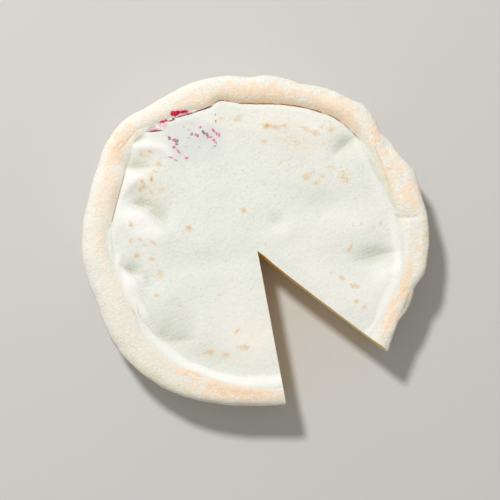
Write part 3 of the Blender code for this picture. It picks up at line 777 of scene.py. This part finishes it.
rind = {
    "bloom": tone(233, 235, 226),       # white mould on the plate
    "warmBloom": tone(244, 240, 229),   # and on the roll
    # near-white of thick bloom, also used for painted highlight and painted light
    "frostAndHighlight": tone(250, 249, 242),
    "shade": tone(212, 215, 201),       # grey of patchy bloom, and painted shade in the hollows, along folds and valleys, and on the lower left of the roll
    "peach": tone(254, 230, 204),       # washed rind under it
    "deepPeach": tone(248, 215, 181),
    "straw": tone(236, 222, 183),
    "tan": tone(235, 207, 171),
    "orange": tone(216, 172, 118),
    # olive tint and painted shade on the roll's inner wall
    "wallTintAndShade": tone(216, 202, 160),
    "fold": tone(192, 182, 166),
    "brown": tone(176, 104, 56),
    "mauve": tone(168, 120, 124),
    "faded": tone(214, 168, 188),
    "maroon": tone(122, 34, 56),
    "red": tone(212, 18, 56),
    "pink": tone(224, 96, 146),
    "purple": tone(144, 96, 132),
    "grey": tone(186, 184, 186),
    "wornBloom": tone(224, 225, 221),
    "grains": {                         # spacing in mm, detail and roughness of each pattern
        "broad": (16,), "mottle": (3.2, 3, 0.55), "fine": (0.7, 2, 0.6), "greyPatch": (1.5, 3, 0.6),
        "speckle": (1, 3, 0.7), "blotch": (3.4, 3, 0.6), "deep": (2, 3, 0.6), "tan": (0.65, 3, 0.75),
        "tanPatch": (3,), "strewn": (0.8, 2, 0.5), "strewnPatch": (9,), "wander": (2.4,), "breaks": (3.5,),
        "velvet": (0.45, 2, 0.6), "skin": (1.4, 3, 0.55), "rollSkin": (0.9, 2, 0.5)},
    "layers": {                         # where each layer starts, where it is full, and its amount
        "roll": (-0.05, 0.12, 1), "frostPatch": (0.35, 0.65, 0.2), "greyPatch": (0.48, 0.70, 0.35),
        "raisedHighlight": (0.1, 1, 0.95), "hollow": (0.1, 1.8, 0.8), "blush": (0.35, 0.60, 0.45),
        "bare": (0.32, 0.68, 1), "bareStart": (-0.04, 0.14, 1), "straw": (0.3, 0.6, 0.8),
        "deep": (0.50, 0.95, 0.75), "dots": (0.46, 0.32, 0.8), "dotPatch": (0.40, 0.55, 1),
        "dotStart": (0.12, 0.3, 1), "tan": (0.35, 0.90, 1), "tanEdge": (0.06, 0.35, 1),
        "orange": (0.75, 1.25, 0.8), "strewn": (0.64, 0.72, 0.55), "strewnPatch": (0.46, 0.60, 1),
        "strewnEnd": (0, -0.1, 1), "worn": (0.25, 0.8, 0.75), "wallFoot": (-0.2, 0.5, 0.6),
        "wallTop": (4.2, 1, 1), "line": (0.52, 0.14, 1), "breaks": (0.32, 0.46, 0.55),
        "fadedGaps": (0.36, 0.50, 1), "haloGaps": (0.30, 0.50, 1),
        "redGaps": (0.26, 0.40, 1), "dyeGaps": (0.30, 0.48, 1), "rollSkin": (0, 0.2, 1)},
    "ovals": {                          # the same for lines and marks, from outside their ovals to inside
        "shade": (1.4, 0.5, 0.45), "edge": (1.5, 0.5, 0.6), "fold": (1.9, 0.5, 0.45),
        "grey": (1.35, 0.75, 0.55), "purple": (1.35, 0.75, 0.85), "pink": (1.35, 0.75, 0.85),
        "faded": (1.5, 0.5, 0.8), "red": (1.45, 0.95, 1), "halo": (2.3, 1, 0.7),
        "maroon": (1.35, 0.70, 0.9)},
    "shakes": {                         # spacing and size of the fraying of each
        "frill": (2.2, 0.9), "frayed": (1.1, 1.1), "running": (0.9, 0.7), "spilling": (0.8, 1.2),
        "dots": (1.5, 1)},
    "paintedLightCover": 0.45,
    "paintedShadeCover": 0.18,
    "tanCover": 0.95,
    "dotSpacing": 2.3,
    "rippleRun": (24, (7, 0.8, 1)),     # turn and stretch
    "relief": {"velvet": 0.11, "skin": 0.22, "rollSkin": 0.22, "ripples": 0.20},
    "roughness": 0.72,
    "roughnessRange": 0.2,
    "shader": {
        "Specular IOR Level": 0.25, "Sheen Weight": 0.10, "Sheen Roughness": 0.6, "Subsurface Weight": 0.12,
        "Subsurface Radius": (1, 0.8, 0.6), "Subsurface Scale": 0.8 * mm},
}


def nearest(place, table):              # 0 in the middle of the nearest oval and 1 on its edge
    found = None
    for x, y, halfLength, halfWidth, turn in table:
        inside = place.node("ShaderNodeMapping", {"vector_type": "TEXTURE"},
                            {"Vector": place, "Location": (x, y, 0), "Rotation": (0, 0, math.radians(turn)),
                             "Scale": (halfLength, halfWidth, 1000.0)})
        away = inside.node("ShaderNodeVectorMath", {"operation": "LENGTH"}, {0: inside}, "Value")
        found = found.maths("MINIMUM", found, away) if found else away
    return found


def shaken(place, spacing, size):       # the place moved about a little, so that an outline on it frays
    stir = place.node("ShaderNodeTexNoise", {}, {"Vector": place, "Scale": 1 / spacing, "Detail": 2}, "Color")
    stir = stir.node("ShaderNodeVectorMath", {"operation": "SUBTRACT"}, {0: stir, 1: (0.5, 0.5, 0.5)})
    return stir.node("ShaderNodeVectorMath", {"operation": "MULTIPLY_ADD"},
                     {0: stir, 1: (size, size, 0), 2: place})


def coated(colour, coats):
    # Coats from the lowest up: the share that each one covers, and its colour
    for cover, shown in coats:
        colour = blend(cover, colour, shown)
    return colour


def bloomAndPaintedLightCoats(place, grains):
    # Bloom colours, with painted highlight and shade on the plate's relief and painted light and shade in
    # patches
    layers, mottle = rind["layers"], grains["mottle"]
    patches = grains["broad"] * 0.6 + mottle * 0.4
    return [
        (painted(place, "rollShare").layer(layers["roll"]), rind["warmBloom"]),
        (patches.layer(layers["frostPatch"]), rind["frostAndHighlight"]),
        (grains["greyPatch"].layer(layers["greyPatch"]), rind["shade"]),
        # painted highlight on the higher parts of the plate and its lip
        (painted(place, "raisedHighlight").layer(layers["raisedHighlight"]), rind["frostAndHighlight"]),
        # painted light in the white patches
        (painted(place, "white") * rind["paintedLightCover"], rind["frostAndHighlight"]),
        # painted shade in the hollows of the plate
        (painted(place, "hollow").layer(layers["hollow"]), rind["shade"]),
        (painted(place, "blush") * mottle.layer(layers["blush"]), rind["peach"]),
        # painted shade on the lower left of the roll
        (painted(place, "paintedShade") * rind["paintedShadeCover"], rind["shade"])]


def peachCoats(place, grains):
    # Peach rind that shows through the bloom of the roll: speckles on one side, blotches on the other
    layers, speckle, blotch = rind["layers"], grains["speckle"], grains["blotch"]
    share, peachy, coarse = [painted(place, name) for name in ("rollShare", "peach", "coarse")]
    bare = (peachy + swing(speckle + (blotch - speckle) * coarse, 3.0)).layer(layers["bare"])
    bare = bare * (0.75 + 0.25 * coarse) * (share + swing(blotch, 0.3)).layer(layers["bareStart"])
    deep = (peachy * 0.62 + swing(grains["deep"], 2.4)).layer(layers["deep"])
    cells = {"Vector": shaken(place, *rind["shakes"]["dots"]), "Scale": 1 / rind["dotSpacing"]}
    dots = (place.node("ShaderNodeTexVoronoi", {}, cells) + grains["fine"] * 0.3).layer(layers["dots"])
    dots = dots * blotch.layer(layers["dotPatch"]) * (0.35 + 0.65 * coarse)
    return [
        (painted(place, "straw") * blotch.layer(layers["straw"]), rind["straw"]),
        (bare, rind["peach"]),
        (deep * bare, rind["deepPeach"]),
        (dots * share.layer(layers["dotStart"]), rind["frostAndHighlight"])]


def fleckCoats(place, grains):          # on the plate
    layers, tanSpots = rind["layers"], painted(place, "tan")
    flecks = tanSpots * 1.3 + swing(grains["tan"], 4.2) + swing(grains["tanPatch"], 1.0)
    flecks = flecks.layer(layers["tan"]) * tanSpots.layer(layers["tanEdge"])
    strewn = grains["strewn"].layer(layers["strewn"]) * grains["strewnPatch"].layer(layers["strewnPatch"])
    return [
        (flecks * rind["tanCover"], rind["tan"]),
        (tanSpots.layer(layers["orange"]) * flecks, rind["orange"]),
        (strewn * painted(place, "rollShare").layer(layers["strewnEnd"]), rind["tan"])]


def foldCoats(place):
    # Painted shade beside the folds in the roll, their tan lips, and painted shadow under them
    frill, top = shaken(place, *rind["shakes"]["frill"]), painted(place, "top")
    return [(nearest(frill, lines[name]).layer(rind["ovals"][name]) * top, rind[shown])
            for name, shown in (("shade", "shade"), ("edge", "tan"), ("fold", "fold"))]


def dyeCoats(place, grains):            # the worn place with its scattered flecks of dye
    frayed, top = shaken(place, *rind["shakes"]["frayed"]), painted(place, "top")
    gaps = grains["fine"].layer(rind["layers"]["dyeGaps"])
    coats = [(painted(place, "worn").layer(rind["layers"]["worn"]), rind["wornBloom"])]
    for name in ("grey", "purple", "pink"):
        mark = nearest(frayed, dyeMarks[name]).layer(rind["ovals"][name])
        coats.append((mark * gaps * top, rind[name]))
    return coats


def creaseCoats(place, grains):
    # The inner wall of the roll with its olive tint and painted shade, the line in the crease and the dye
    # that ran into it
    layers, ovals, fine = rind["layers"], rind["ovals"], grains["fine"]
    fromCrease, top = painted(place, "fromCrease"), painted(place, "top")
    wall = fromCrease.layer(layers["wallFoot"]) * fromCrease.layer(layers["wallTop"])
    line = abs(fromCrease + swing(grains["wander"], 0.5)).layer(layers["line"])
    line = line * painted(place, "ink") * (0.45 + grains["breaks"].layer(layers["breaks"]))
    running, spilling = [shaken(place, *rind["shakes"][name]) for name in ("running", "spilling")]
    faded = nearest(running, dyeMarks["faded"]).layer(ovals["faded"])
    spilt = nearest(spilling, dyeMarks["red"])
    halo = spilt.layer(ovals["halo"]) * fine.layer(layers["haloGaps"])
    return [
        (painted(place, "wallTintAndShade") * wall, rind["wallTintAndShade"]),
        (line, blend(painted(place, "mauve"), rind["brown"], rind["mauve"])),
        (faded * grains["mottle"].layer(layers["fadedGaps"]) * top, rind["faded"]),
        (halo * top, rind["pink"]),
        (spilt.layer(ovals["red"]) * fine.layer(layers["redGaps"]) * top, rind["red"]),
        (nearest(running, dyeMarks["maroon"]).layer(ovals["maroon"]) * top, rind["maroon"])]


def rindRelief(place, grains):          # velvet, grains on the roll, and hair-fine ripples in the hollows
    relief = rind["relief"]
    onRoll = painted(place, "rollShare").layer(rind["layers"]["rollSkin"])
    ripples = grain(turned(place, *rind["rippleRun"]), 1.0) * painted(place, "hollow")
    velvet = bumps(grains["velvet"], relief["velvet"])
    velvet = bumps(grains["skin"], relief["skin"], velvet)
    velvet = bumps(grains["rollSkin"] * onRoll, relief["rollSkin"], velvet)
    return bumps(ripples, relief["ripples"], velvet)


def rindFinish():
    material, place = newFinish("bloomyRind")
    grains = {name: grain(place, *values) for name, values in rind["grains"].items()}
    coats = (bloomAndPaintedLightCoats(place, grains) + peachCoats(place, grains) + fleckCoats(place, grains)
             + foldCoats(place) + dyeCoats(place, grains) + creaseCoats(place, grains))
    return surface(material, place, {
        "Base Color": coated(rind["bloom"], coats), "Normal": rindRelief(place, grains),
        "Roughness": rind["roughness"] + swing(grains["mottle"], rind["roughnessRange"]), **rind["shader"]})


paste = {
    "heart": tone(254, 217, 122),
    "ripe": tone(254, 202, 88),         # softer and deeper in colour under the rind
    "cream": tone(248, 229, 188),
    "skin": tone(222, 186, 132),
    "white": tone(245, 238, 224),
    "crack": tone(200, 168, 112),
    "layers": {                         # where each starts, where it is full, and its amount
        "cloud": (0.35, 0.65, 0.6), "ripe": (5.5, 1.5, 0.55), "cream": (2, 0.9, 0.75), "skin": (0.95, 0.6, 1),
        "white": (0.50, 0.25, 1), "smear": (0.52, 0.75, 0.30), "crack": (0.35, 0.08, 1),
        "crackGaps": (0.45, 0.60, 1)},
    "smearStretch": (9, 9, 0.5),
    "crackStretch": (7, 7, 3),
    "crackPlace": 0.48,                 # as a share of the plate's height
    "crackWander": 7.0,
    "crackCover": 0.5,
    "relief": {"pores": 0.05, "smear": 0.10, "crack": 0.12},
    "roughness": 0.42,
    "roughnessRange": 0.25,
    "shader": {
        "Specular IOR Level": 0.4, "Subsurface Weight": 0.75, "Subsurface Radius": (1, 0.65, 0.22),
        "Subsurface Scale": 7 * mm},
}


def pasteFinish():
    material, place = newFinish("softPaste")
    layers, relief = paste["layers"], paste["relief"]
    depth = painted(place, "skinDepth") + swing(grain(place, 2.5), 0.5)
    smear = grain(turned(place, 0, paste["smearStretch"]), 1.0, 3)
    height = place.node("ShaderNodeSeparateXYZ", {}, {"Vector": place}, "Z")
    wander = swing(grain(turned(place, 0, paste["crackStretch"]), 1.0, 3), paste["crackWander"])
    crack = abs(height - wheel["plateHeight"] * paste["crackPlace"] + wander)
    crack = crack.layer(layers["crack"]) * grain(place, 8.0).layer(layers["crackGaps"])
    coats = [(grain(place, 9.0, 3).layer(layers["cloud"]), paste["ripe"])]
    coats += [(depth.layer(layers[name]), paste[name]) for name in ("ripe", "cream", "skin", "white")]
    coats += [(smear.layer(layers["smear"]), paste["cream"]), (crack * paste["crackCover"], paste["crack"])]
    normal = bumps(grain(place, 1.2), relief["pores"])
    normal = bumps(smear, relief["smear"], normal)
    return surface(material, place, {
        "Base Color": coated(paste["heart"], coats), "Normal": bumps(1 - crack, relief["crack"], normal),
        "Roughness": paste["roughness"] + swing(smear, paste["roughnessRange"]), **paste["shader"]})


print("spinning the wheel")
cheeseWheel = spinWheel()
print("cutting the wedge out of", len(cheeseWheel.data.vertices), "points")
wedge = wedgeCutter()
roughenCut(wedge)
cutWedge(cheeseWheel, wedge, rindFinish(), pasteFinish())
print("painting", len(cheeseWheel.data.vertices), "points and", len(cheeseWheel.data.polygons), "faces")
paintWheel(cheeseWheel)
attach(cheeseWheel, "root")
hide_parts("cheese_wheel")


# Floor, light and camera

studio = {
    "floorSize": 12.0,
    "floor": tone(206, 205, 202),
    "floorCloud": tone(214, 213, 210),
    "cloudSpacing": 60.0,
    "cloudCover": 0.12,
    "floorRoughness": 0.85,
    "cameraTarget": (-2.14, -4.14, 15.0),  # mm, the middle of the picture
    "cameraDistance": 0.78,
    "cameraHeight": 85.0,               # degrees above the horizon
    "lens": 130.0,
    "sensor": 36.0,
    "lightFrom": (-0.545, 0.839),       # the way to the light, seen from above
    "lightAngle": 34.0,                 # from straight up
    "lightDistance": 1.5,
    "lightSize": 0.20,
    "lightPower": 16.2,
    "keyColour": (1.0, 0.995, 1.0),
    "fillColour": (1.0, 0.99, 0.94, 1.0),
    "fillStrength": 0.38,
}


def buildStudio():
    selectNothing()
    bpy.ops.mesh.primitive_plane_add(size=studio["floorSize"])
    floor = bpy.context.object
    floor.name = "floor"
    material, place = newFinish("paleFloor")
    clouds = grain(place, studio["cloudSpacing"]) * studio["cloudCover"]
    spread = blend(clouds, studio["floor"], studio["floorCloud"])
    finish = surface(material, place, {"Base Color": spread, "Roughness": studio["floorRoughness"]})
    floor.data.materials.append(finish)
    target = Vector(studio["cameraTarget"]) * mm
    tilt = math.radians(studio["cameraHeight"])
    bpy.ops.object.camera_add(
        location=target + Vector((0, -math.cos(tilt), math.sin(tilt))) * studio["cameraDistance"],
        rotation=(math.pi / 2 - tilt, 0, 0))
    camera = bpy.context.object
    camera.data.lens = studio["lens"]
    camera.data.sensor_width = studio["sensor"]
    bpy.context.scene.camera = camera
    lean = math.radians(studio["lightAngle"])
    towards = Vector((*studio["lightFrom"], 0)).normalized() * math.sin(lean)
    towards.z = math.cos(lean)
    bpy.ops.object.light_add(type="AREA", location=towards * studio["lightDistance"],
                             rotation=towards.to_track_quat("Z", "Y").to_euler())
    key = bpy.context.object.data
    key.shape = "DISK"
    key.size = studio["lightSize"]
    key.energy = studio["lightPower"]
    key.color = studio["keyColour"]
    world = bpy.data.worlds.new("softFill")
    world.use_nodes = True
    world.node_tree.nodes["Background"].inputs["Color"].default_value = studio["fillColour"]
    world.node_tree.nodes["Background"].inputs["Strength"].default_value = studio["fillStrength"]
    bpy.context.scene.world = world
    bpy.context.scene.view_settings.view_transform = "Standard"


print("setting up floor, light and camera")
buildStudio()
selectNothing()
